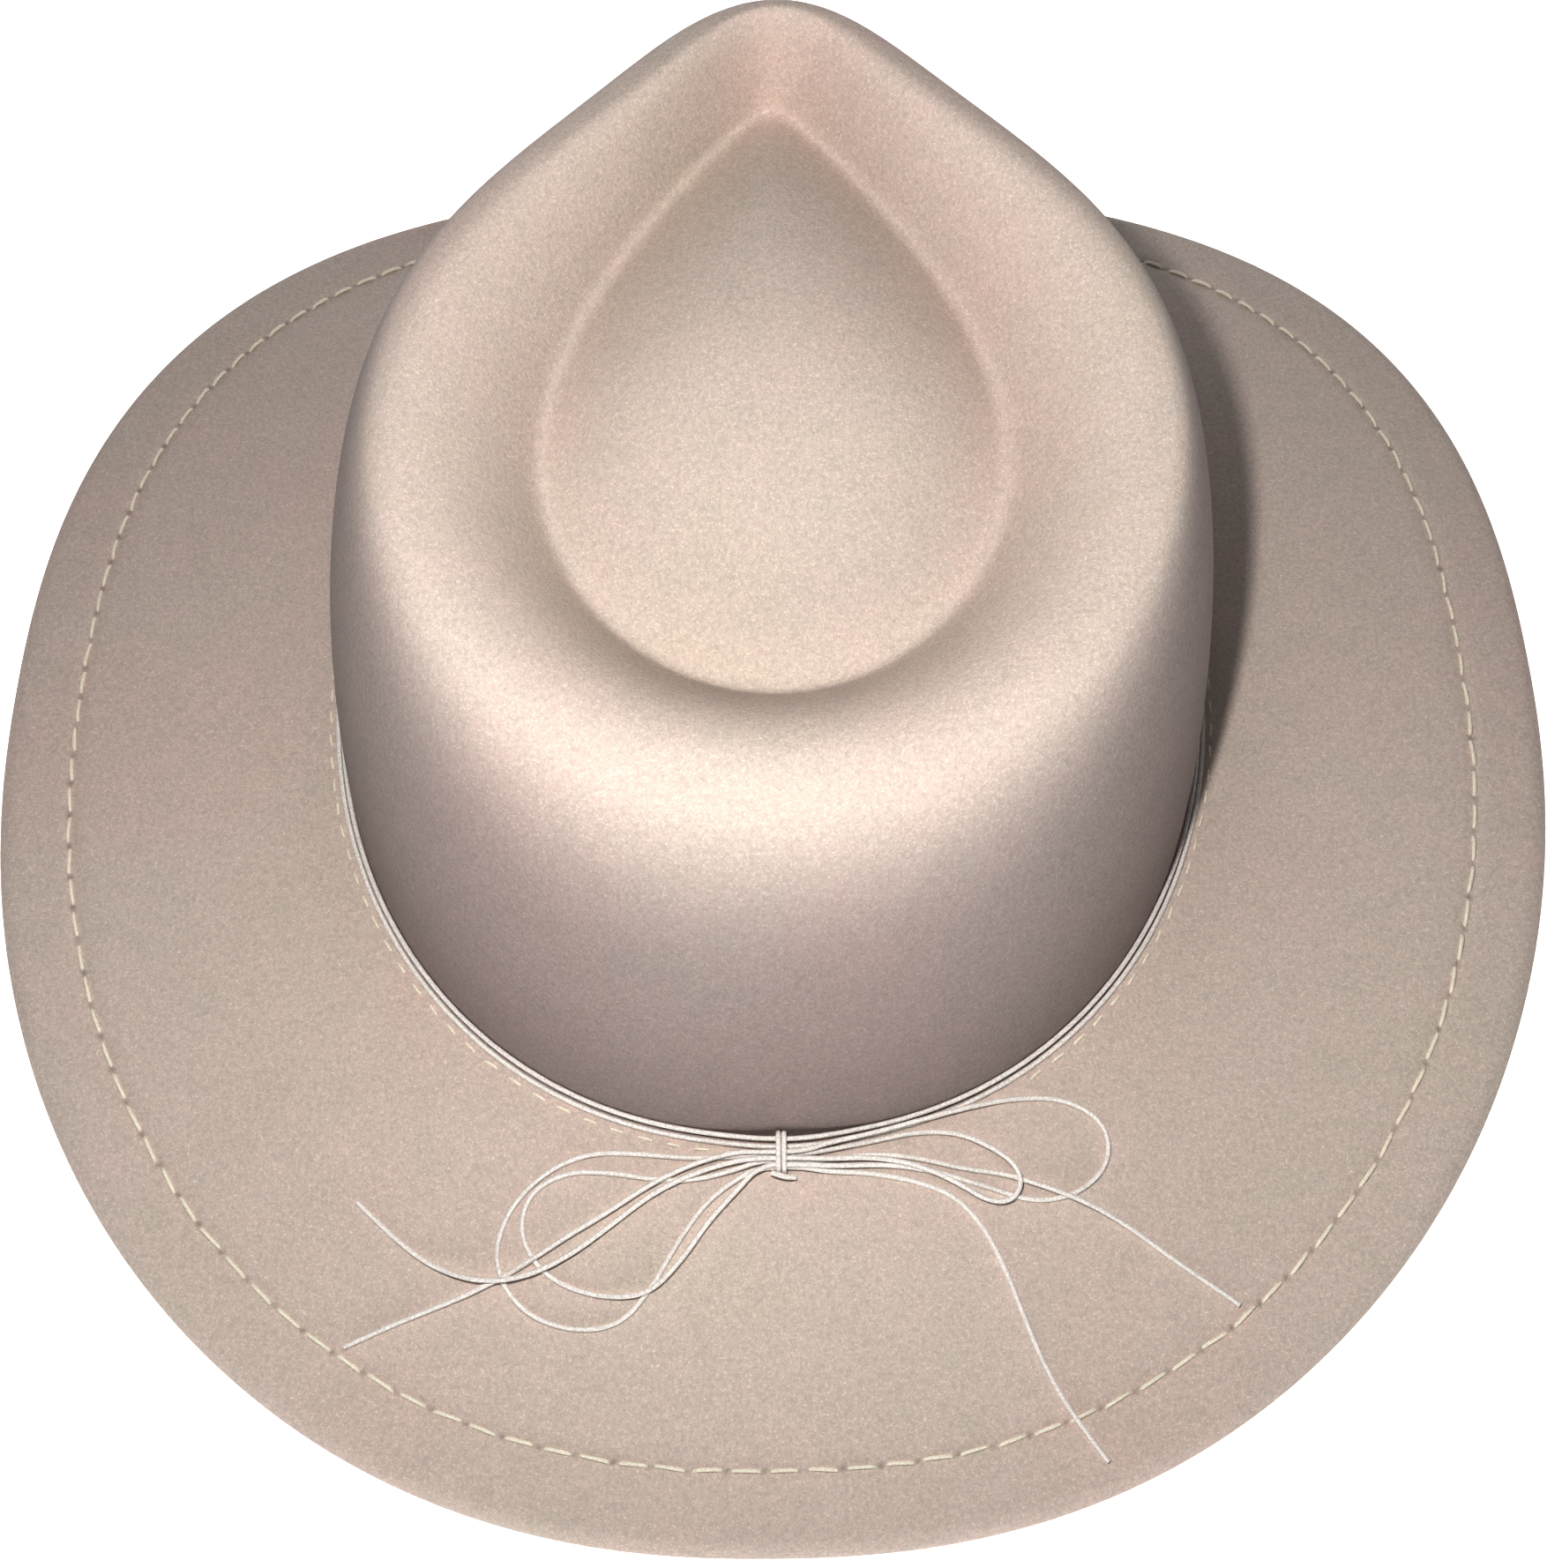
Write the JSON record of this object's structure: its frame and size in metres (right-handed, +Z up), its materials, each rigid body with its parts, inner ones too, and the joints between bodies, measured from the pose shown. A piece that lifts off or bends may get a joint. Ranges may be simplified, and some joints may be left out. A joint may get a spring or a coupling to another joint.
{
  "type": "cowboy hat",
  "caption": "Pinch-front western hat with a teardrop crown, stitched wired brim, sweatband and a thin cord band tied in a bow.",
  "frame": {"origin": "on the ground under the middle of the brim, with the hat standing on its brim", "axes": "+Z up; the pinched front of the crown faces -Y and the bow is at the rear, +Y; +X is the wearer's left"},
  "size_m": [0.31, 0.342, 0.1422],
  "materials": {
    "felt": "brushed faux felt, blush beige",
    "thread": "cream sewing thread",
    "cord": "waxed off-white cord",
    "wire": "drawn steel",
    "sweatband": "woven cotton band",
    "label": "blank woven label"
  },
  "bodies": {
    "root": {"crown": "felt", "brim": "felt", "sweatband": "sweatband", "sweatband_joint_tape": "sweatband", "size_label": "label", "brim_wire": "wire", "brim_wire_sleeve": "wire", "hem_stitching": "thread", "crown_stitching": "thread", "band_cord_lower": "cord", "band_cord_upper": "cord", "bow_binding": "cord", "loop_left_outer": "cord", "loop_left_inner": "cord", "loop_right_outer": "cord", "loop_right_inner": "cord", "tail_left_upper": "cord", "tail_left_lower": "cord", "tail_right_upper": "cord", "tail_right_lower": "cord"}
  },
  "joints": []
}
